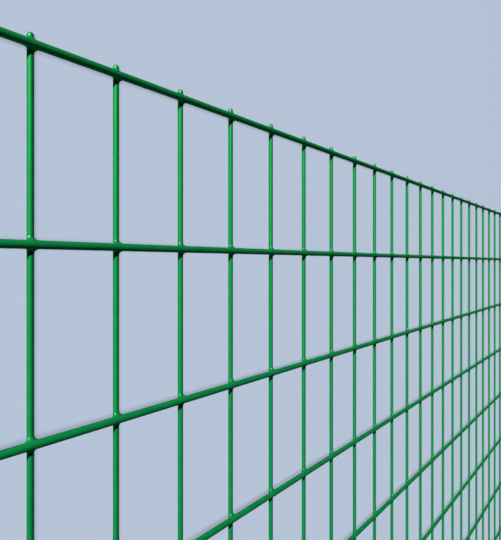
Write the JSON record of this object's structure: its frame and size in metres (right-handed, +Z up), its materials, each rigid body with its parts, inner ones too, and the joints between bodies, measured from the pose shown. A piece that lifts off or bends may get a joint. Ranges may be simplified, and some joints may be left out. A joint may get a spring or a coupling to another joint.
{
  "type": "welded wire mesh fence panel",
  "caption": "Flat panel of green coated welded wire mesh fencing: thicker line wires welded across thinner cross wires, with short rounded wire ends on all edges.",
  "frame": {"origin": "middle of the panel, at the underside of the cross wires that it lies on", "axes": "+X along the line wires, to the right in the picture; +Y along the cross wires, up in the picture; +Z up from the floor, on the side of the line wires, which faces the viewer in the picture"},
  "size_m": [2.013, 1.013, 0.0065],
  "materials": {
    "green_coat": "gloss"
  },
  "bodies": {
    "root": {"mesh_left": "green_coat", "mesh_middle": "green_coat", "mesh_right": "green_coat"}
  },
  "joints": []
}
